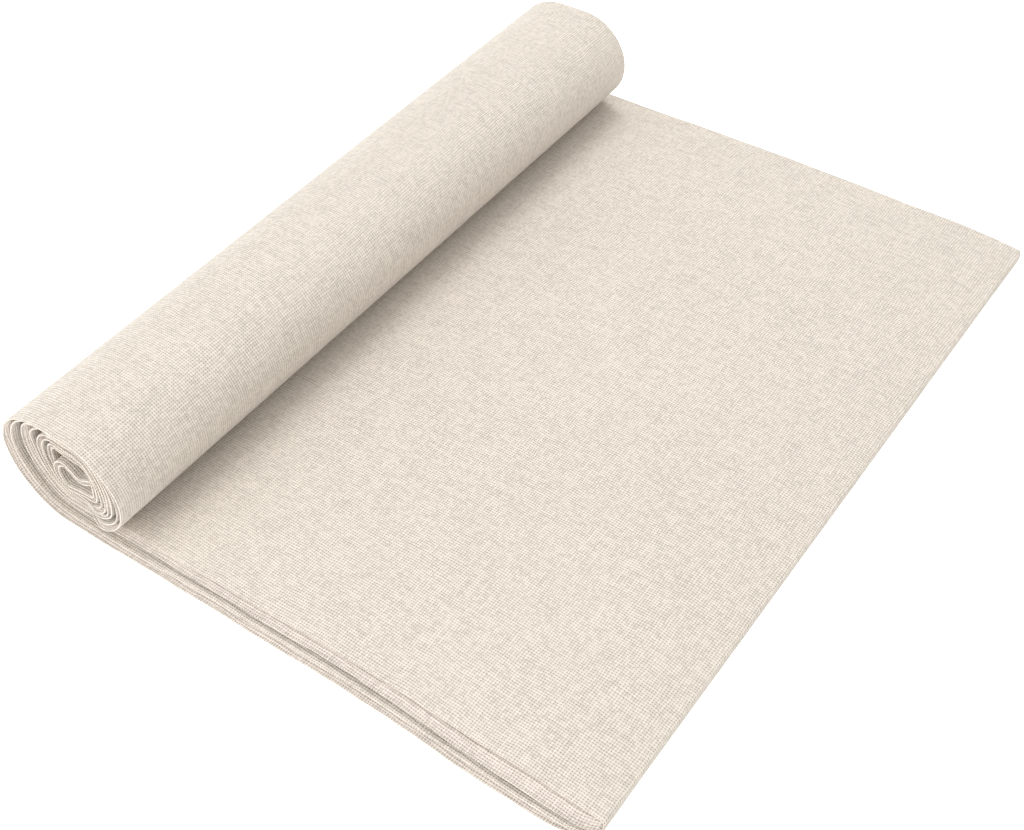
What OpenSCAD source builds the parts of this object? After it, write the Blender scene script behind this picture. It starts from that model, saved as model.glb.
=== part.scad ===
// Table runner, stored the usual way: folded in half twice into four layers,
// then rolled up from the end that holds the first fold and the two hemmed ends.
// It stands as delivered, with the roll at -X and the part still lying flat at +X.
// X runs along the runner, Y across it, Z up. The origin is the middle of the underside.
// All lengths are in millimetres.

/* [Cloth] */
// Width of the runner, hem to hem
cloth_width = 305; // [250:5:380]
// Length of the runner, opened out
cloth_length = 1829; // [1500:1:2280]
// Thickness of one ply of the cloth
cloth_t = 0.45; // [0.35:0.01:0.55]

/* [Hems] */
// Width of the double-turned hem
hem_width = 8; // [5:0.5:12]
// Thickness of the sewing thread as it lies on the cloth
thread_t = 0.4; // [0.2:0.05:0.6]

/* [Fold and roll] */
// Air between one ply and the next where they lie on each other
ply_gap = 0.1; // [0.08:0.01:0.3]
// How far each layer is pushed out past the one above it, towards -Y
layer_shift = 1.75; // [0:0.05:3]
// Height of the roll above the table
roll_height = 47; // [40:0.5:58]
// Length of the flattened stretch over and under the roll
roll_flat = 12; // [9:0.5:20]
// Air left over the top of each turn, where the roll is loose
roll_slack = 5.5; // [0:0.5:7]
// Length of cloth left over past the last turn, inside the roll
core_tail = 9; // [4:0.5:14]
// Straight steps in one half turn of the roll
turn_steps = 15; // [9:1:24]

/* [Hidden] */

// The four layers, counted from the top of the flat part.
TOP = 0;
SECOND = 1;
THIRD = 2;
BOTTOM = 3;

// Every layer is a single ply of cloth, and its hem is that ply turned over twice.
hem_t = 2 * cloth_t;
layer_t = cloth_t + hem_t;
// The pack of four layers. Each layer's faces are given as heights above the underside
// of the pack, which is also its outer face once it is rolled.
pack_t = 4 * layer_t + 3 * ply_gap;
panel_low = [
  pack_t - cloth_t,
  2 * layer_t + 2 * ply_gap,
  2 * layer_t + ply_gap - cloth_t,
  0];
// The hems are turned to the wrong side: up on the second and bottom layers, down on the
// top and third layers.
hem_low = [
  pack_t - layer_t,
  panel_low[SECOND] + cloth_t,
  layer_t + ply_gap,
  cloth_t];
// The seam thread lies on the wrong side of the panel, along the hem's folded edge.
thread_low = [
  panel_low[TOP] - thread_t,
  panel_low[SECOND] + cloth_t,
  panel_low[THIRD] - thread_t,
  cloth_t];

// The roll winds round two rows of centres, one at each end of its flattened stretch. The
// foot of the roll, where it parts from the flat layers, is at x = 0. Each turn rests on
// the one below it, and the slack lies over its top.
pack_pitch = pack_t + ply_gap;
outer_radius = roll_height / 2;
// All four layers make this many half turns. Then the two hemmed ends stop, and the top
// and second layers wind on alone as a pair.
PACK_TURNS = 4;
PAIR_TURNS = 5;

// Radius of the pack's outer face in half turn n, counted from 0
function turn_radius(n) =
  n < 2 ? outer_radius - n * pack_pitch / 2
    : turn_radius(n - 2) - pack_pitch / (n < PACK_TURNS ? 1 : 2) - roll_slack / 2;
function turn_centre(n) =
  n < 2 ? [n == 0 ? -roll_flat : 0, outer_radius + n * pack_pitch / 2]
    : turn_centre(n - 2) - [0, roll_slack / 2];
// Direction of the outer face where half turn n ends: square to the line that touches
// this half turn and the next one. The last half turn ends facing the line it began on.
function leave_angle(n) =
  n == PAIR_TURNS - 1 ? enter_angle(n) - 180
    : let (
        step = turn_centre(n + 1) - turn_centre(n),
        left_to_right = n % 2 == 0 ? step : -step,
        tilt = atan2(left_to_right[1], left_to_right[0]),
        lean = acos((turn_radius(n) - turn_radius(n + 1)) / norm(step)))
      tilt + lean - 180 * (n + 2);
function enter_angle(n) = n == 0 ? -90 : leave_angle(n - 1);
function on_turn(n, depth, angle) =
  turn_centre(n) + (turn_radius(n) - depth) * [cos(angle), sin(angle)];
function half_turn(n, depth) = [
  for (i = [0 : turn_steps])
    on_turn(n, depth, enter_angle(n) + (leave_angle(n) - enter_angle(n)) * i / turn_steps)];

// A point that lies this many steps along a half turn, on the straight between its corners
function between_steps(n, depth, steps) =
  let (corners = half_turn(n, depth), before = min(floor(steps), turn_steps - 1))
  corners[before] + (steps - before) * (corners[before + 1] - corners[before]);

function turns(layer) = layer <= SECOND ? PAIR_TURNS : PACK_TURNS;
function tail(layer) = layer <= SECOND ? core_tail : 0;
// The spare cloth past the last turn lies along the stretch that the turn began on.
tail_angle = leave_angle(PAIR_TURNS - 1);
tail_way = [sin(tail_angle), -cos(tail_angle)];
// A line that follows one layer from the foot to its end in the roll, at a depth below
// the pack's outer face
function rolled_line(layer, depth) = concat(
  [[0, depth]],
  [for (n = [0 : turns(layer) - 1]) each half_turn(n, depth)],
  tail(layer) == 0 ? []
    : [on_turn(PAIR_TURNS - 1, depth, tail_angle) + tail(layer) * tail_way]);
function reversed(list) = [for (i = [len(list) - 1 : -1 : 0]) list[i]];
function rolled_band(layer, low, high) =
  concat(rolled_line(layer, low), reversed(rolled_line(layer, high)));
function line_length(p) =
  [for (i = [1 : len(p) - 1]) norm(p[i] - p[i - 1])] * [for (i = [1 : len(p) - 1]) 1];

// The folds. Each is centred midway between the two layers that it joins.
outer_fold_r = pack_t / 2;
inner_fold_r = ply_gap / 2 + cloth_t;
core_fold_r = layer_t + ply_gap / 2;
core_fold_depth = panel_low[SECOND] + core_fold_r;
core_fold_centre = on_turn(PAIR_TURNS - 1, core_fold_depth, tail_angle) + core_tail * tail_way;
core_fold_turn = atan2(tail_way[1], tail_way[0]);
// The cloth that lies flat is what the roll and the folds leave of the cut length.
fold_cloth = PI * (outer_fold_r + inner_fold_r + core_fold_r - 3 * cloth_t / 2);
rolled_cloth = [
  for (layer = [TOP : BOTTOM]) line_length(rolled_line(layer, panel_low[layer] + cloth_t / 2))]
  * [1, 1, 1, 1];
laid_length = (cloth_length - rolled_cloth - fold_cloth) / 4;
end_fold_centre = [laid_length, pack_t / 2];
middle_x = (laid_length + outer_fold_r - roll_flat - outer_radius) / 2;

// The layers' places across the runner
function shift_y(layer) = (1.5 - layer) * layer_shift;
function low_y(shift) = shift - cloth_width / 2;

// An outline in the XZ plane, drawn out along Y from low to low + width
module across(outline, low, width)
  translate([-middle_x, low + width, 0])
    rotate([90, 0, 0])
      linear_extrude(width)
        polygon(outline);

// The flat stretch of one layer, between two heights
function laid_band(low, high) = [[0, low], [laid_length, low], [laid_length, high], [0, high]];
// Half a ring for a fold, which bulges the way that turn gives
function fold_band(centre, inner_r, outer_r, turn = 0) =
  let (angles = [for (i = [0 : turn_steps]) turn - 90 + 180 * i / turn_steps])
  concat(
    [for (a = angles) centre + outer_r * [cos(a), sin(a)]],
    reversed([for (a = angles) centre + inner_r * [cos(a), sin(a)]]));
// A stretch of the last half turn of the four layers, from one place to another along it.
// Both are counted in steps, and the corners between them are kept.
function end_band(low, high, from, to) =
  let (
    n = PACK_TURNS - 1,
    places = concat([from], [for (i = [floor(from) + 1 : ceil(to) - 1]) i], [to]))
  concat(
    [for (s = places) between_steps(n, low, s)],
    reversed([for (s = places) between_steps(n, high, s)]));
// How many steps a length of cloth takes up at the end of that half turn
function steps_of(layer, length) =
  let (
    n = PACK_TURNS - 1,
    sweep = (enter_angle(n) - leave_angle(n)) * PI / 180,
    r = turn_radius(n) - hem_low[layer] - hem_t / 2)
  turn_steps * length / (r * sweep);

module laid_layer(layer)
  across(laid_band(panel_low[layer], panel_low[layer] + cloth_t), low_y(shift_y(layer)), cloth_width);

module rolled_layer(layer)
  across(
    rolled_band(layer, panel_low[layer], panel_low[layer] + cloth_t),
    low_y(shift_y(layer)), cloth_width);

module fold(centre, outer_r, layer_a, layer_b, turn = 0)
  across(
    fold_band(centre, outer_r - cloth_t, outer_r, turn),
    low_y((shift_y(layer_a) + shift_y(layer_b)) / 2), cloth_width);

// A strip along one side of the runner, on the wrong side of the cloth, that follows all
// four layers and the three folds. It starts at inset from the layers' -Y edge. The fold
// radii give the strip's two faces in the outer, inner and core folds.
module side_strip(low, thickness, inset, width, outer, inner, core) {
  for (layer = [TOP : BOTTOM]) {
    start = low_y(shift_y(layer)) + inset;
    across(laid_band(low[layer], low[layer] + thickness), start, width);
    across(rolled_band(layer, low[layer], low[layer] + thickness), start, width);
  }
  across(
    fold_band(end_fold_centre, outer[0], outer[1]),
    low_y((shift_y(TOP) + shift_y(BOTTOM)) / 2) + inset, width);
  across(
    fold_band(end_fold_centre, inner[0], inner[1]),
    low_y((shift_y(SECOND) + shift_y(THIRD)) / 2) + inset, width);
  across(
    fold_band(core_fold_centre, core[0], core[1], core_fold_turn),
    low_y((shift_y(TOP) + shift_y(SECOND)) / 2) + inset, width);
}

module side_hem(inset)
  side_strip(
    hem_low, hem_t, inset, hem_width,
    [outer_fold_r - layer_t, outer_fold_r - cloth_t],
    [inner_fold_r, inner_fold_r + hem_t],
    [core_fold_r - layer_t, core_fold_r - cloth_t]);

module side_seam(inset)
  side_strip(
    thread_low, thread_t, inset, thread_t,
    [outer_fold_r - cloth_t - thread_t, outer_fold_r - cloth_t],
    [inner_fold_r, inner_fold_r + thread_t],
    [core_fold_r - cloth_t - thread_t, core_fold_r - cloth_t]);

// The hem across a free end lies between the two side seams.
module end_strip(layer, low, thickness, near, far)
  across(
    end_band(low, low + thickness, turn_steps - steps_of(layer, far), turn_steps - steps_of(layer, near)),
    low_y(shift_y(layer)) + hem_width + thread_t, cloth_width - 2 * (hem_width + thread_t));

module end_hem(layer) end_strip(layer, hem_low[layer], hem_t, 0, hem_width);

module end_seam(layer) end_strip(layer, thread_low[layer], thread_t, hem_width, hem_width + thread_t);

module top_layer_laid() { color("linen") laid_layer(TOP); }
module second_layer_laid() { color("oldlace") laid_layer(SECOND); }
module third_layer_laid() { color("antiquewhite") laid_layer(THIRD); }
module bottom_layer_laid() { color("bisque") laid_layer(BOTTOM); }
module top_layer_rolled() { color("linen") rolled_layer(TOP); }
module second_layer_rolled() { color("oldlace") rolled_layer(SECOND); }
module third_layer_rolled() { color("antiquewhite") rolled_layer(THIRD); }
module bottom_layer_rolled() { color("bisque") rolled_layer(BOTTOM); }
module outer_end_fold() { color("linen") fold(end_fold_centre, outer_fold_r, TOP, BOTTOM); }
module inner_end_fold() { color("oldlace") fold(end_fold_centre, inner_fold_r, SECOND, THIRD); }
module core_fold() { color("linen") fold(core_fold_centre, core_fold_r, TOP, SECOND, core_fold_turn); }
module near_side_hem() { color("wheat") side_hem(0); }
module far_side_hem() { color("wheat") side_hem(cloth_width - hem_width); }
module near_side_seam() { color("tan") side_seam(hem_width); }
module far_side_seam() { color("tan") side_seam(cloth_width - hem_width - thread_t); }
module third_layer_end_hem() { color("wheat") end_hem(THIRD); }
module bottom_layer_end_hem() { color("wheat") end_hem(BOTTOM); }
module third_layer_end_seam() { color("tan") end_seam(THIRD); }
module bottom_layer_end_seam() { color("tan") end_seam(BOTTOM); }

top_layer_laid();
second_layer_laid();
third_layer_laid();
bottom_layer_laid();
top_layer_rolled();
second_layer_rolled();
third_layer_rolled();
bottom_layer_rolled();
outer_end_fold();
inner_end_fold();
core_fold();
near_side_hem();
far_side_hem();
near_side_seam();
far_side_seam();
third_layer_end_hem();
bottom_layer_end_hem();
third_layer_end_seam();
bottom_layer_end_seam();
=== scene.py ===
# %% [markdown]
# # A woven table runner, folded in four and half rolled up
#
# The runner is one long piece of linen-look cloth. It was folded in half twice, then rolled
# up from one end, and the part that is not rolled lies flat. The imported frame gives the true
# sizes: where each layer lies, how thick the pack of layers is and how large the roll is.
# Everything below is worked out from it, in metres, with X along the runner, Y across it and
# Z up.

# %% Load the frame
import math

import bpy
import numpy as np
from mathutils import Matrix, Vector


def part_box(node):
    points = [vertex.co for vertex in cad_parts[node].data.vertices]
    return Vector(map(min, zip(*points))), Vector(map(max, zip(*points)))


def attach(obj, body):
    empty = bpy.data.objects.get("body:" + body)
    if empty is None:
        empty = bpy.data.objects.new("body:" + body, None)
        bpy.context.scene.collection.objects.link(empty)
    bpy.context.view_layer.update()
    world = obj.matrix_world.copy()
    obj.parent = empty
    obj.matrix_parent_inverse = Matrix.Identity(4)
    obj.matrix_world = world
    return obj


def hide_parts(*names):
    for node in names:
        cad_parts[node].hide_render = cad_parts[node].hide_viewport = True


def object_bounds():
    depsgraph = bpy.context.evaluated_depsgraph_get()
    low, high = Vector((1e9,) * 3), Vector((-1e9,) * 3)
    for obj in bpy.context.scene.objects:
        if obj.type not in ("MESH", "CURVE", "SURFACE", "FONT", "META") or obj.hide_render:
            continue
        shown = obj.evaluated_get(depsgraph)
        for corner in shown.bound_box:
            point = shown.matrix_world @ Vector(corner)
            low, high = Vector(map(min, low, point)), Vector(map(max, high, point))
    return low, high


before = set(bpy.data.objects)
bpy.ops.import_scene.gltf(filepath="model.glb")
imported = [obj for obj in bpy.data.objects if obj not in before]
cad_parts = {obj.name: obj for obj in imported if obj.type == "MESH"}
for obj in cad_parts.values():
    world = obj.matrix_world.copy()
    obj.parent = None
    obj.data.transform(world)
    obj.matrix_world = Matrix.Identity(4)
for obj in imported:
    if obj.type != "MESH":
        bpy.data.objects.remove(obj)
cad_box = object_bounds()
MM = 0.001
scene = bpy.context.scene
print("frame box", [[round(value, 4) for value in corner] for corner in cad_box])

# %% [markdown]
# ## Sizes that the frame gives
#
# The four layers are flat slabs in the frame, so their boxes say how high each one lies and
# how thick the cloth is. The rolled part of the bottom layer is the outside of the roll. All
# this could be typed in again, but read from the frame it can never disagree with it. How far
# the folded end reaches and the width of the cloth's hem are the only two sizes given here.

# %% Read the layers and the roll
laid = {name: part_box(name + "_layer_laid") for name in ("top", "second", "third", "bottom")}
cloth_t = laid["top"][1].z - laid["top"][0].z
cloth_width = laid["top"][1].y - laid["top"][0].y
pack_t = laid["top"][1].z
foot_x = laid["top"][0].x
FOLD_REACH = 1.5 * MM
end_x = cad_box[1][0] - FOLD_REACH
near_y = laid["bottom"][0].y
roll_low, roll_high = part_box("bottom_layer_rolled")
roll_radius = roll_high.z / 2
roll_flat = foot_x - roll_low.x - roll_radius
hem_width = 8 * MM
print("cloth thickness", round(cloth_t / MM, 2), "mm, pack", round(pack_t / MM, 2), "mm")
print("roll radius", round(roll_radius / MM, 1), "mm, flat", round(roll_flat / MM, 1), "mm")

# %% [markdown]
# ## Camera
#
# The runner is seen from above its lower right corner, with a normal lens. A camera can be
# aimed with a constraint, but three plain turns are easier to read: the heading round Z, how
# far it looks down, and a slight tilt of the hands that hold it. Its place is counted from
# the corner where the flat cloth comes out from under the near end of the roll.

# %% Place the camera
HEADING = math.radians(36.98)
DOWNWARD = math.radians(46.13)
TILT = math.radians(-2.2)
HIDDEN_SLOPE = math.radians(30)
CAMERA_FROM_CORNER = Vector((0.3050, -0.1852, 0.3931))

camera_data = bpy.data.cameras.new("camera")
camera = bpy.data.objects.new("camera", camera_data)
scene.collection.objects.link(camera)
scene.camera = camera
camera_data.lens = 53.25
camera_data.sensor_width = 36.0
roll_hides = (roll_radius - pack_t / 2) * math.tan(HIDDEN_SLOPE)
near_corner = Vector((foot_x + roll_hides, laid["top"][0].y, pack_t))
camera.location = near_corner + CAMERA_FROM_CORNER
camera.rotation_euler = (
    Matrix.Rotation(HEADING, 4, "Z")
    @ Matrix.Rotation(math.pi / 2 - DOWNWARD, 4, "X")
    @ Matrix.Rotation(TILT, 4, "Z")
).to_euler()
print("camera at", [round(value, 3) for value in camera.location])

# %% [markdown]
# ## Floor and light
#
# The runner lies on a white table that gives a little light of its own, so the ground hardly
# darkens beside it. A darker floor would show a shadow round the cloth that a pale studio
# does not have. A large soft lamp up on the left and behind gives the roll its light top and
# its darker side. A wider, lower one in front lights the rolled end, and a pale sky fills
# the rest. Small or close lamps would draw hard edges that woven cloth in a studio lacks.

# %% Floor
FLOOR_SIZE = 8.0
FLOOR_DROP = 0.0002

def deselect():
    bpy.ops.object.select_all(action="DESELECT")

deselect()
bpy.ops.mesh.primitive_plane_add(size=FLOOR_SIZE, location=(0, 0, -FLOOR_DROP))
floor = bpy.context.object
floor.name = "floor"
floor_paint = bpy.data.materials.new("pale_floor")
floor_paint.use_nodes = True
floor_shader = floor_paint.node_tree.nodes["Principled BSDF"]
floor_shader.inputs["Base Color"].default_value = (0.9, 0.9, 0.9, 1)
floor_shader.inputs["Roughness"].default_value = 0.9
floor_shader.inputs["Specular IOR Level"].default_value = 0.1
floor_shader.inputs["Emission Color"].default_value = (1, 1, 1, 1)
floor_shader.inputs["Emission Strength"].default_value = 0.6
floor.data.materials.append(floor_paint)
print("floor", FLOOR_SIZE, "m wide,", FLOOR_DROP / MM, "mm under the cloth")

# %% Light
def soft_lamp(name, place, aim, size, power):
    lamp_data = bpy.data.lights.new(name, "AREA")
    lamp_data.shape = "DISK"
    lamp_data.size = size
    lamp_data.energy = power
    lamp = bpy.data.objects.new(name, lamp_data)
    scene.collection.objects.link(lamp)
    lamp.location = place
    lamp.rotation_euler = (Vector(aim) - Vector(place)).to_track_quat("-Z", "Y").to_euler()
    print(name, power, "W, disk", size, "m")

soft_lamp("key_lamp", place=(-0.4, 0.8, 1.6), aim=(0, 0, 0), size=0.9, power=13)
soft_lamp("fill_lamp", place=(-0.2, -1.4, 0.7), aim=(0, 0, 0), size=1.2, power=13)
world = bpy.data.worlds.new("pale_sky")
scene.world = world
world.use_nodes = True
sky = world.node_tree.nodes["Background"]
sky.inputs["Color"].default_value = (1, 1, 1, 1)
sky.inputs["Strength"].default_value = 0.92
scene.view_settings.view_transform = "Standard"
scene.view_settings.look = "None"

# %% [markdown]
# ## The line that the pack of layers follows
#
# Seen from the side, the four layers run flat along the floor to the foot of the roll and
# then wind round two rows of centres, one at each end of the roll's flattened stretch. A
# spiral formula would give a round roll, but a real one sinks under its own weight, so the
# line is built from half turns with a straight run between them. A walk along it gives a
# place on the pack's outer face and the direction that the face looks in. Each layer is then
# drawn at its own depth below that face.

# %% Half turns of the roll
PACK_TURNS = 4
PAIR_TURNS = 5
PLY_GAP = 0.1 * MM
PITCH = pack_t + PLY_GAP
SLACK = 5.5 * MM

def turn(n):
    """Centre and radius of the outer face in half turn n."""
    if n < 2:
        x = foot_x - (roll_flat if n == 0 else 0)
        return np.array([x, roll_radius + n * PITCH / 2]), roll_radius - n * PITCH / 2
    centre, radius = turn(n - 2)
    step = PITCH if n < PACK_TURNS else PITCH / 2
    return centre - [0, SLACK / 2], radius - step - SLACK / 2

def leave_angle(n):
    """Direction of the face where half turn n ends, in degrees."""
    level = -90 - 180 * (n + 1)
    if n == PAIR_TURNS - 1:
        return level
    (here, r_here), (there, r_there) = turn(n), turn(n + 1)
    step = (there - here) * (1 if n % 2 == 0 else -1)
    slope = math.degrees(math.atan2(step[1], step[0]))
    lean = math.degrees(math.acos((r_here - r_there) / np.linalg.norm(step)))
    return slope + lean - 180 * (n + 2)

print("half turn radii", [round(float(turn(n)[1]) / MM, 1) for n in range(PAIR_TURNS)], "mm")

# %% Walk along the half turns
LINE_STEP = 1.8 * MM
RUN_STEPS = 2
ARC_STEPS = 8

def facing(angle):
    """Unit direction in X and Z for an angle in degrees."""
    return np.array([math.cos(math.radians(angle)), math.sin(math.radians(angle))])

def roll_line(turns):
    """Rows of x, z and face angle, from the foot inwards."""
    rows = [(foot_x, 0.0, -90.0)]
    angle = -90.0
    for n in range(turns):
        centre, radius = turn(n)
        end_angle = leave_angle(n)
        last = np.array(rows[-1][:2])
        start = centre + radius * facing(angle)
        count = max(RUN_STEPS, round(np.linalg.norm(start - last) / LINE_STEP))
        rows += [(*(last + (start - last) * i / count), angle) for i in range(1, count)]
        count = max(ARC_STEPS, round(math.radians(angle - end_angle) * radius / LINE_STEP))
        for i in range(count + 1):
            at = angle + (end_angle - angle) * i / count
            rows.append((*(centre + radius * facing(at)), at))
        angle = end_angle
    return np.array(rows)

pack_line = roll_line(PACK_TURNS)
pair_line = roll_line(PAIR_TURNS)
print("pack line", len(pack_line), "points, pair line", len(pair_line), "points")

# %% [markdown]
# ## Where each layer lies in the roll
#
# A hand-rolled runner is never even. The layers lie close under and over the roll and
# spread apart at its two sides, and inside it the turns slip along the roll, so that their
# edges are set back from the near end. Random noise would make the layers cross. So both are
# given at each quarter turn, counted from the underside: a depth below the outer face and a
# distance back from the near edge, in millimetres, blended smoothly in between.

# %% Quarter turns
HEART_DROP = 1.5 * MM
ROLL_HEART = np.array([foot_x - roll_flat / 2, roll_radius - HEART_DROP])
ORDER = ["bottom", "third", "second", "top"]

DEPTH = {
    "bottom": [(0, 0.24), (9, 0.24)],
    "third": [(0, 2.05), (1, 2.6), (2, 2.1), (3, 2.5), (4, 1.9), (5, 2.7), (6, 2.2), (7, 2.6),
        (8, 2.0)],
    "second": [(0, 3.5), (1, 4.9), (2, 3.8), (3, 4.7), (4, 3.2), (5, 4.8), (6, 3.6), (7, 4.7),
        (8, 3.6), (8.5, 3.6), (9, 3.1), (10, 1.2)],
    "top": [(0, 5.475), (0.35, 5.25), (0.6, 5.7), (1, 7.3), (1.5, 7.9), (2, 6.3), (3, 7.0),
        (3.5, 5.3), (4, 5.1), (4.5, 5.2), (5, 6.7), (6, 5.3), (7, 6.9), (8, 5.7), (8.5, 5.7),
        (9, 5.3), (10, 3.4)]}
SET_BACK = {
    "bottom": [(0, -0.7), (1, 0), (3.5, 0), (4, 4.6), (5, 6.3), (6, 4.6), (7, 0.9), (8, 2.6)],
    "third": [(0, 1.0), (1, 2.0), (2, 1.0), (3, 0.3), (3.5, 0.9), (4, 4.4), (5, 6.6), (6, 4.4),
        (7, 1.2), (8, 3.0)],
    "second": [(0, 3.2), (1, 4.2), (2, 1.7), (3, 0.4), (3.5, 1.8), (4, 4.4), (5, 6.8),
        (6, 4.4), (7, 1.6), (8, 3.6), (9, 4.8), (10, 4.4)],
    "top": [(0, 5.25), (1, 6.0), (1.5, 4.4), (2, 2.4), (3, 0.5), (3.5, 2.1), (4, 4.4),
        (5, 7.0), (6, 4.2), (7, 2.0), (8, 3.6), (9, 5.0), (10, 4.4)]}

def quarter_turns(line):
    """How far round the roll each row is, counted in quarter turns from its underside."""
    offset = line[:, :2] - ROLL_HEART
    angle = np.unwrap(np.arctan2(offset[:, 1], offset[:, 0]))
    angle += -math.pi / 2 - angle[0] + (angle[0] + math.pi / 2) % (2 * math.pi)
    return (-math.pi / 2 - angle) / (math.pi / 2)

print("quarter turns in the pack line", round(float(quarter_turns(pack_line)[-1]), 1))

# %% Rows of one layer in the roll
ROLL_WANDER = 0.25 * MM
WANDER_SEED = {"bottom": 6, "third": 5, "second": 6, "top": 3}
QUARTER_RUN = 0.02

def blend(stations, at):
    """A smooth run in metres through (place, millimetres) stations."""
    places = np.array([place for place, value in stations])
    values = np.array([value for place, value in stations])
    at = np.clip(at, places[0], places[-1])
    i = np.clip(np.searchsorted(places, at, side="right") - 1, 0, len(places) - 2)
    t = (at - places[i]) / (places[i + 1] - places[i])
    return (values[i] + (values[i + 1] - values[i]) * t * t * (3 - 2 * t)) * MM

def wander(x, seed):
    """A slow uneven wave between -1 and 1, for edges that no hand lays straight."""
    long_wave = np.sin(x * 71 + 1.9 * seed)
    middle_wave = np.sin(x * 163 + 4.1 * seed) * 0.6
    short_wave = np.sin(x * 389 + 2.7 * seed) * 0.3
    return (long_wave + middle_wave + short_wave) / 1.9

def rolled_rows(name, columns):
    """Grid of points for one layer, from the foot of the roll inwards."""
    line = pair_line if name in ("top", "second") else pack_line
    place = quarter_turns(line)
    depth = blend(DEPTH[name], place)[:, None]
    uneven = ROLL_WANDER * wander(place * QUARTER_RUN, WANDER_SEED[name])
    back = blend(SET_BACK[name], place) + uneven * np.clip(place, 0, 1)
    x, z, angle = line[:, :1], line[:, 1:2], np.radians(line[:, 2:3])
    y = near_y + cloth_width / 2 + columns[None, :] + back[:, None]
    full = np.ones_like(y)
    return np.stack(
        [(x - depth * np.cos(angle)) * full, y, (z - depth * np.sin(angle)) * full], -1)

print("top layer's depth in the roll", round(float(blend(DEPTH["top"], 1)) / MM, 1), "mm at a side")

# %% [markdown]
# ## Where each layer lies on the floor
#
# The flat part keeps the layers' order. Every layer sticks out a little further to the near
# side than the one above it, more so towards the end, and near the folded corner the lower
# ones draw back again, where the cloth goes round. The hemmed edges hold the layers
# apart, and the folded end is pressed thinner. The top layer sags a little at its long
# edges, where nothing is above it. Flat planes would look like card, so every layer also
# rides over soft bumps, and takes on the bumps of the layers under it, so that none cross.

# %% Soft bumps
AIR = {"bottom": 0.0, "third": 0.16 * MM, "second": 0.22 * MM, "top": 0.3 * MM}

def wave(x, y, seed):
    """A smooth bump field between 0 and 1, with bumps a few centimetres long."""
    a = np.sin(x * (61 + 7 * seed) + 2.1 * seed) * np.cos(y * (23 + 5 * seed) + 1.3 * seed)
    b = np.sin(x * (29 + 3 * seed) - y * (37 - 2 * seed) + 0.7 * seed)
    return 0.5 + 0.25 * (a + b)

def lift(name, x, y):
    """Height of one layer's bumps, with those of all the layers below it."""
    total = np.zeros(np.broadcast(x, y).shape)
    for seed, layer in enumerate(ORDER[: ORDER.index(name) + 1]):
        total = total + AIR[layer] * wave(x, y, seed)
    return total

print("top layer's bumps are up to", round(sum(AIR.values()) / MM, 2), "mm high")

# %% Rows of one layer on the floor
# Set-back from the near edge, in millimetres, at shares of the way from roll to end
LAID_BACK = {
    "bottom": [(0, -0.7), (0.5, 0.1), (0.9, -1.8), (1, -1.8)],
    "third": [(0, 1.0), (0.5, 1.9), (0.9, -0.4), (1, -0.4)],
    "second": [(0, 3.2), (0.5, 4.0), (0.9, 1.2), (1, 1.2)],
    "top": [(0, 5.25), (0.5, 7.1), (0.85, 6.4), (1, 6.2)]}
# Length of the corner's curve and how far back it draws, in millimetres
CORNER = {"bottom": (14, 4.4), "third": (8, 3.6), "second": (8, 2.0), "top": (10, 0.2)}
# Heights at the folded end, and what the hems add there, in millimetres
END_HEIGHT = {"bottom": 0.24, "third": 1.0, "second": 1.7, "top": 2.6}
END_HEMS = {"bottom": 0, "third": 0.3, "second": 0.3, "top": 0.5}
END_PRESS = 34 * MM
EDGE_RUN = 18 * MM
TOP_SAG = 0.6 * MM
LAID_WANDER = 0.3 * MM
LAID_STEP = 2.4 * MM
# The bumps fade out over this part of the length, at the roll and at the folded end
FADES_AT_ROLL = 8
FADES_AT_END = 12

def laid_rows(name, columns):
    """Grid of points for one layer, from the folded end to the foot of the roll."""
    count = round((end_x - foot_x) / LAID_STEP)
    x = np.linspace(end_x, foot_x, count, endpoint=False)[:, None]
    share = (x[:, 0] - foot_x) / (end_x - foot_x)
    free = np.clip(share * FADES_AT_ROLL, 0, 1) * np.clip((1 - share) * FADES_AT_END, 0, 1)
    across_share = 0.5 - columns[None, :] / cloth_width
    corner_run, corner_back = CORNER[name]
    from_end = np.clip((end_x - x[:, 0]) / (corner_run * MM), 0, 1)
    corner = corner_back * MM * (1 - from_end[:, None]) ** 2 * across_share
    uneven = LAID_WANDER * wander(x[:, 0], WANDER_SEED[name])
    back = blend(LAID_BACK[name], share) + uneven * free
    y = near_y + cloth_width / 2 + columns[None, :] + back[:, None] + corner
    pressed = np.clip(1 - (end_x - x) / END_PRESS, 0, 1) ** 2
    from_edge = cloth_width / 2 - np.abs(columns[None, :])
    at_edge = np.clip(1.5 - from_edge / EDGE_RUN, 0, 1) ** 2
    end_height = END_HEIGHT[name] + END_HEMS[name] * at_edge
    foot_height = DEPTH[name][0][1]
    height = foot_height + (end_height - foot_height) * pressed
    z = height * MM + lift(name, x, y) * free[:, None]
    if name == "top":
        z = z - TOP_SAG * at_edge * free[:, None]
    return np.stack([x + 0 * y, y, z], -1)

print("laid length", round((end_x - foot_x) / MM, 1), "mm, in steps of", LAID_STEP / MM, "mm")

# %% [markdown]
# ## One continuous cloth
#
# The real runner is a single piece, so it is drawn as a single sheet. Four separate layers
# would need joints in the folds, and a cloth simulation would have to fold and roll nearly
# two metres of cloth first, so the sheet is swept along the way that the cloth takes. The
# walk starts at the hemmed end of the bottom layer, in the core, and goes out along the
# bottom layer, round the outer fold, back along the top layer into the core, round the first
# fold, out along the second layer, round the inner fold and back along the third.

# %% Core tail
TAIL = 16 * MM
TAIL_DIP = math.radians(40)
TAIL_LEAN = 0.12
TAIL_STEPS = 18

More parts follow.
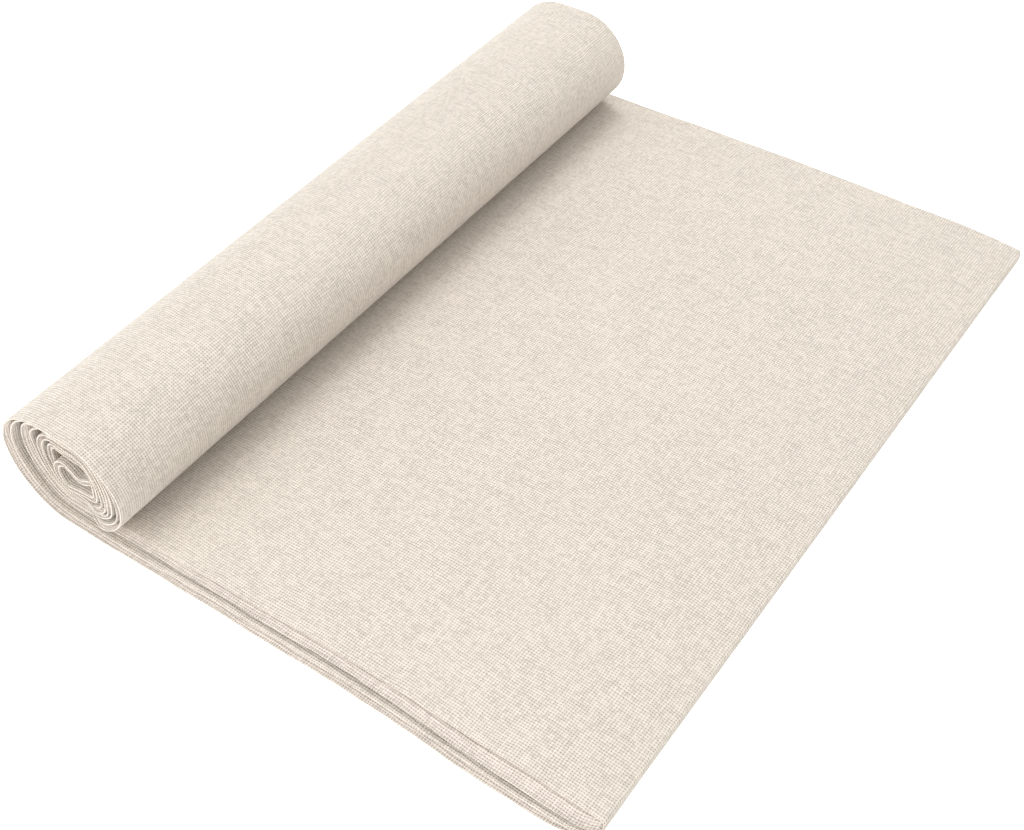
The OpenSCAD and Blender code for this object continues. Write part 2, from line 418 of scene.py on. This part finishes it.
def tail_rows(rows, other):
    """Rows that carry one of the last two layers on into the core, in a dip and a rise."""
    middle = (rows[-1, 0, [0, 2]] + other[-1, 0, [0, 2]]) / 2
    apart = np.linalg.norm(rows[-1, 0, [0, 2]] - middle)
    side = 1 if rows[-1, 0, 2] > middle[1] else -1
    out = []
    for i in range(1, TAIL_STEPS + 1):
        way = -TAIL_DIP * math.sin(2 * math.pi * (i - 0.5) / TAIL_STEPS) - TAIL_LEAN
        middle = middle + TAIL / TAIL_STEPS * facing(math.degrees(way))
        row = rows[-1].copy()
        row[:, 0], row[:, 2] = middle + side * apart * facing(math.degrees(way) + 90)
        out.append(row)
    return np.array(out)

print("the core tail is", TAIL / MM, "mm long")

# %% Folds
FOLD_STEPS = 10

def fold_rows(start, end):
    """Half round of rows, bulging along X, from one layer's last row to another's."""
    middle, arm = (start + end) / 2, (start - end) / 2
    reach = np.linalg.norm(arm[:, [0, 2]], axis=1)[:, None] * np.array((1, 0, 0))
    rows = []
    for i in range(1, FOLD_STEPS):
        t = math.pi * i / FOLD_STEPS
        rows.append(middle + arm * math.cos(t) + reach * math.sin(t))
    return np.array(rows)

print("each fold is", FOLD_STEPS - 1, "rows")

# %% Rows of the sheet
NOSE_RISE = 0.30 * MM
MIDDLE_COLUMNS = 37
HEM_COLUMNS = np.array([0, 0.12, 0.5])

def edge_columns():
    """Places across the cloth, close together in the hems."""
    half = cloth_width / 2
    inner = np.linspace(-half + hem_width, half - hem_width, MIDDLE_COLUMNS)
    side = -half + NOSE_RISE + (hem_width - NOSE_RISE) * HEM_COLUMNS
    return np.concatenate([side, inner, -side[::-1]])

columns = edge_columns()
grids = {}
for name in ORDER:
    grids[name] = np.concatenate([laid_rows(name, columns), rolled_rows(name, columns)])
top_tail = tail_rows(grids["top"], grids["second"])
second_tail = tail_rows(grids["second"], grids["top"])
grids["top"] = np.concatenate([grids["top"], top_tail])
grids["second"] = np.concatenate([grids["second"], second_tail])
outer_fold = fold_rows(grids["bottom"][0], grids["top"][0])
core_fold = fold_rows(grids["top"][-1], grids["second"][-1])
inner_fold = fold_rows(grids["second"][0], grids["third"][0])
sheet_rows = np.concatenate([
    grids["bottom"][::-1], outer_fold, grids["top"], core_fold,
    grids["second"][::-1], inner_fold, grids["third"]])
steps = np.linalg.norm(np.diff(sheet_rows[:, len(columns) // 2], axis=0), axis=1)
along = np.concatenate([[0], np.cumsum(steps)])
print("sheet rows", sheet_rows.shape, "length", round(along[-1] / MM), "mm")

# %% [markdown]
# ## Turned edges
#
# Each long edge is turned over to the wrong side and pressed, so that it can't fray. The
# cloth could be turned twice in the mesh as well, but only its outer ply shows. So the sheet
# runs on over the edge in a small round nose, and the turned ply is a flat band under it.
# The nose belongs to the sheet, so that the visible face has no joint.

# %% Nose rows and the wrong side
NOSE_STEPS = 6
# The weave is pressed together over the nose, where the yarns bunch up
NOSE_PATTERN = 5.5 * NOSE_RISE

def wrong_side(rows):
    """Unit direction to the wrong side of the cloth at every point of the grid."""
    run = np.gradient(rows, axis=0)
    out = np.stack([-run[..., 2], np.zeros(run.shape[:2]), run[..., 0]], -1)
    return out / np.linalg.norm(out, axis=-1, keepdims=True)

wrong = wrong_side(sheet_rows)

def nose(column, side):
    """Columns that carry the cloth over its edge, from the face to the turned side."""
    points = []
    for i in range(1, NOSE_STEPS + 1):
        t = math.pi * i / NOSE_STEPS
        shift = np.array([0, side * NOSE_RISE * math.sin(t), 0])
        under = wrong[:, column] * NOSE_RISE * (1 - math.cos(t)) / 2
        points.append(sheet_rows[:, column] + shift + under)
    return np.stack(points, 1)

near_nose = nose(0, -1)[:, ::-1]
far_nose = nose(-1, 1)
cloth_grid = np.concatenate([near_nose, sheet_rows, far_nose], 1)
nose_run = NOSE_PATTERN * np.arange(1, NOSE_STEPS + 1) / NOSE_STEPS
across = np.concatenate([columns[0] - nose_run[::-1], columns, columns[-1] + nose_run])
print("cloth grid", cloth_grid.shape[:2])

# %% [markdown]
# ## From rows to a mesh
#
# A grid of points becomes quads, and every point keeps its place on the opened-out cloth as
# UV, in metres, for the weave to follow. A Solidify modifier then gives the cloth its real
# thickness, half to each side. Drawing both faces by hand would do the same with more code.

# %% Mesh from a grid
def grid_mesh(name, grid, u, v, flip=False):
    """A mesh of quads through a grid of points, with its cloth place in metres as UV."""
    rows, cols = grid.shape[:2]
    mesh = bpy.data.meshes.new(name)
    faces = []
    for i in range(rows - 1):
        for j in range(cols - 1):
            a, b = i * cols + j, i * cols + j + 1
            quad = (a, b, b + cols, a + cols)
            faces.append(quad[::-1] if flip else quad)
    mesh.from_pydata(grid.reshape(-1, 3).tolist(), [], faces)
    layer = mesh.uv_layers.new(name="cloth")
    place = np.stack(np.meshgrid(u, v, indexing="ij"), -1).reshape(-1, 2)
    index = np.zeros(len(mesh.loops), int)
    mesh.loops.foreach_get("vertex_index", index)
    layer.data.foreach_set("uv", place[index].ravel())
    mesh.polygons.foreach_set("use_smooth", [True] * len(mesh.polygons))
    piece = bpy.data.objects.new(name, mesh)
    scene.collection.objects.link(piece)
    return piece

def apply_modifiers(piece):
    deselect()
    piece.select_set(True)
    bpy.context.view_layer.objects.active = piece
    for modifier in list(piece.modifiers):
        bpy.ops.object.modifier_apply(modifier=modifier.name)

runner_cloth = grid_mesh("runner_cloth", cloth_grid, along, across)
solid = runner_cloth.modifiers.new("thickness", "SOLIDIFY")
solid.thickness = cloth_t
solid.offset = 0
apply_modifiers(runner_cloth)
print("cloth faces", len(runner_cloth.data.polygons))

# %% Hem bands
HEM_SEAT = 0.45
HEM_ROUND_STEPS = 4

def hem_band(name, column, side):
    """The turned ply, as a flat band with a rounded fold, under one long edge.

    The band is open at its two ends, which lie in the core of the roll.
    """
    y_in = hem_width - NOSE_RISE
    low, high = cloth_t * HEM_SEAT, cloth_t * HEM_SEAT + NOSE_RISE
    half, mid = (high - low) / 2, (high + low) / 2
    outline = [(0, low), (0, high)]
    for i in range(HEM_ROUND_STEPS + 1):
        t = math.pi * (0.5 - i / HEM_ROUND_STEPS)
        outline.append((y_in - half + half * math.cos(t), mid + half * math.sin(t)))
    outline.append((0, low))
    edge, out = sheet_rows[:, column], wrong[:, column]
    points = [edge - np.array([0, side * y, 0]) + out * depth for y, depth in outline]
    place = [columns[column] + side * y for y, depth in outline]
    return grid_mesh(name, np.stack(points, 1), along, place, flip=side > 0)

near_hem = hem_band("near_side_hem_fold", 0, -1)
far_hem = hem_band("far_side_hem_fold", -1, 1)
print("hem faces", len(near_hem.data.polygons), "and", len(far_hem.data.polygons))

# %% [markdown]
# ## Cloth finish
#
# The cloth is a plain weave of round, slightly hairy yarns about a millimetre apart. Seen
# from here every crossing is a pale dot with a dark pit beside it. The dots differ a little
# in tone, some yarns are paler than others over a short stretch, and the pattern bends a
# little as a loose weave does. Real yarns would take millions of faces, so the weave is made
# of shader nodes. They read the sheet's own UV, which is the place on the cloth in metres,
# so the weave follows every fold and turn. The turned hems get a paler, pinker copy of the
# weave, which is painted light with a warm cast on these edges.

# %% Node helpers
class Shader:
    """Short ways to add and join the nodes of one material."""

    def __init__(self, name):
        self.material = bpy.data.materials.new(name)
        self.material.use_nodes = True
        self.nodes = self.material.node_tree.nodes
        self.links = self.material.node_tree.links
        self.surface = self.nodes["Principled BSDF"]
        self.uv = self.nodes.new("ShaderNodeUVMap")
        self.uv.uv_map = "cloth"

    def calc(self, kind, a, b=None):
        """One Math node, on numbers or on other nodes' outputs."""
        node = self.nodes.new("ShaderNodeMath")
        node.operation = kind
        for socket, value in zip(node.inputs, (a, b)):
            if value is None:
                continue
            if isinstance(value, (int, float)):
                socket.default_value = value
            else:
                self.links.new(value, socket)
        return node.outputs[0]

    def total(self, *terms):
        result = terms[0]
        for term in terms[1:]:
            result = self.calc("ADD", result, term)
        return result

    def times(self, a, b):
        return self.calc("MULTIPLY", a, b)

    def centred(self, value):
        return self.calc("SUBTRACT", value, 0.5)

    def noise(self, per_metre_u, per_metre_v, detail, seed):
        """Soft noise on the cloth, with this many bumps in a metre each way."""
        mapping = self.nodes.new("ShaderNodeMapping")
        mapping.inputs["Scale"].default_value = (per_metre_u, per_metre_v, 1)
        mapping.inputs["Location"].default_value = (seed, seed * 0.7, 0)
        self.links.new(self.uv.outputs[0], mapping.inputs["Vector"])
        field = self.nodes.new("ShaderNodeTexNoise")
        field.noise_dimensions = "2D"
        field.inputs["Detail"].default_value = detail
        field.inputs["Scale"].default_value = 1.0
        self.links.new(mapping.outputs[0], field.inputs["Vector"])
        return field.outputs["Fac"]

    def speckle(self, a, b):
        """One random number for every whole a and b."""
        join = self.nodes.new("ShaderNodeCombineXYZ")
        self.links.new(a, join.inputs[0])
        self.links.new(b, join.inputs[1])
        field = self.nodes.new("ShaderNodeTexWhiteNoise")
        field.noise_dimensions = "2D"
        self.links.new(join.outputs[0], field.inputs["Vector"])
        return field.outputs["Value"]

# %% Yarns
YARN_PITCH_U = 1.0 * MM
YARN_PITCH_V = 0.96 * MM
YARN_BEND = 1.6

def gap(shader, value):
    """1 on the line between two yarns, falling to 0 on each yarn's crest."""
    swing = shader.calc("SINE", shader.times(value, math.pi))
    return shader.calc("SUBTRACT", 1.0, shader.calc("ABSOLUTE", swing))

def yarns(shader):
    """The weave's parts: its dots, each dot's own tone, thick and thin yarns, and hairs."""
    times, total, centred = shader.times, shader.total, shader.centred
    split = shader.nodes.new("ShaderNodeSeparateXYZ")
    shader.links.new(shader.uv.outputs[0], split.inputs[0])
    u = total(shader.calc("DIVIDE", split.outputs[0], YARN_PITCH_U),
        times(shader.noise(70, 70, 2, 3.1), YARN_BEND))
    v = total(shader.calc("DIVIDE", split.outputs[1], YARN_PITCH_V),
        times(shader.noise(60, 60, 2, 7.7), YARN_BEND))
    gap_u, gap_v = gap(shader, u), gap(shader, v)
    pits = total(times(times(gap_u, gap_v), 0.75), times(gap_u, 0.14), times(gap_v, 0.26))
    return {
        "dots": shader.calc("SUBTRACT", 1.0, pits),
        "dot_tone": centred(shader.speckle(shader.calc("FLOOR", u), shader.calc("FLOOR", v))),
        "slub_u": centred(shader.noise(70, 1020, 1, 1.3)),
        "slub_v": centred(shader.noise(1020, 70, 1, 5.9)),
        "fuzz": centred(shader.noise(3300, 3300, 2, 2.2)),
        "cloud": centred(shader.noise(16, 16, 2, 9.1))}

# %% Weave material
RELIEF = {"dots": 1, "fuzz": 0.5, "dot_tone": 0.35, "slub_u": 0.4, "slub_v": 0.3}
TONE = {"dots": 1, "dot_tone": 0.3, "slub_u": 0.32, "slub_v": 0.22, "fuzz": 0.5, "cloud": 0.08}
RELIEF_HEIGHT = 0.22 * MM
PIT_TONE = 0.4
PIT_WARMTH = (1, 0.97, 0.94)

def mix(shader, parts, weights):
    """The sum of the weave's parts, each as strong as its weight says."""
    terms = [parts[part] if share == 1 else shader.times(parts[part], share)
        for part, share in weights.items()]
    return shader.total(*terms)

def linen(name, tint):
    shader = Shader(name)
    parts = yarns(shader)
    bump = shader.nodes.new("ShaderNodeBump")
    bump.inputs["Strength"].default_value = 0.9
    bump.inputs["Distance"].default_value = RELIEF_HEIGHT
    shader.links.new(mix(shader, parts, RELIEF), bump.inputs["Height"])
    shader.links.new(bump.outputs[0], shader.surface.inputs["Normal"])
    ramp = shader.nodes.new("ShaderNodeValToRGB")
    pit = [PIT_TONE * c * warmth for c, warmth in zip(tint, PIT_WARMTH)]
    ramp.color_ramp.elements[0].color = (*pit, 1)
    ramp.color_ramp.elements[1].color = (*tint, 1)
    shader.links.new(mix(shader, parts, TONE), ramp.inputs["Fac"])
    shader.links.new(ramp.outputs[0], shader.surface.inputs["Base Color"])
    shader.surface.inputs["Roughness"].default_value = 0.92
    shader.surface.inputs["Specular IOR Level"].default_value = 0.18
    shader.surface.inputs["Sheen Weight"].default_value = 0.2
    shader.surface.inputs["Sheen Roughness"].default_value = 0.6
    print(name, len(shader.nodes), "nodes")
    return shader.material

cloth_finish = linen("linen_weave", (0.708, 0.642, 0.561))
# A paler, pinker copy of the weave for the hem bands: painted light with a warm cast.
hem_painted_light = linen("hem_weave_painted_light", (0.73, 0.648, 0.576))
runner_cloth.data.materials.append(cloth_finish)
near_hem.data.materials.append(hem_painted_light)
far_hem.data.materials.append(hem_painted_light)

# %% [markdown]
# ## Tie the pieces to the frame
#
# The sheet stands for all four layers, the three folds and the hemmed ends in the core. The
# two bands stand for the long hems, with the thread inside them. A runner has no joint, so
# every piece rides on the one body.

# %% Replace the plain nodes
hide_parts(*[name + "_layer_laid" for name in ORDER], *[name + "_layer_rolled" for name in ORDER],
    "outer_end_fold", "inner_end_fold", "core_fold",
    "third_layer_end_hem", "bottom_layer_end_hem",
    "third_layer_end_seam", "bottom_layer_end_seam")
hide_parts("near_side_hem", "near_side_seam")
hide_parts("far_side_hem", "far_side_seam")
for piece in (runner_cloth, near_hem, far_hem):
    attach(piece, "root")
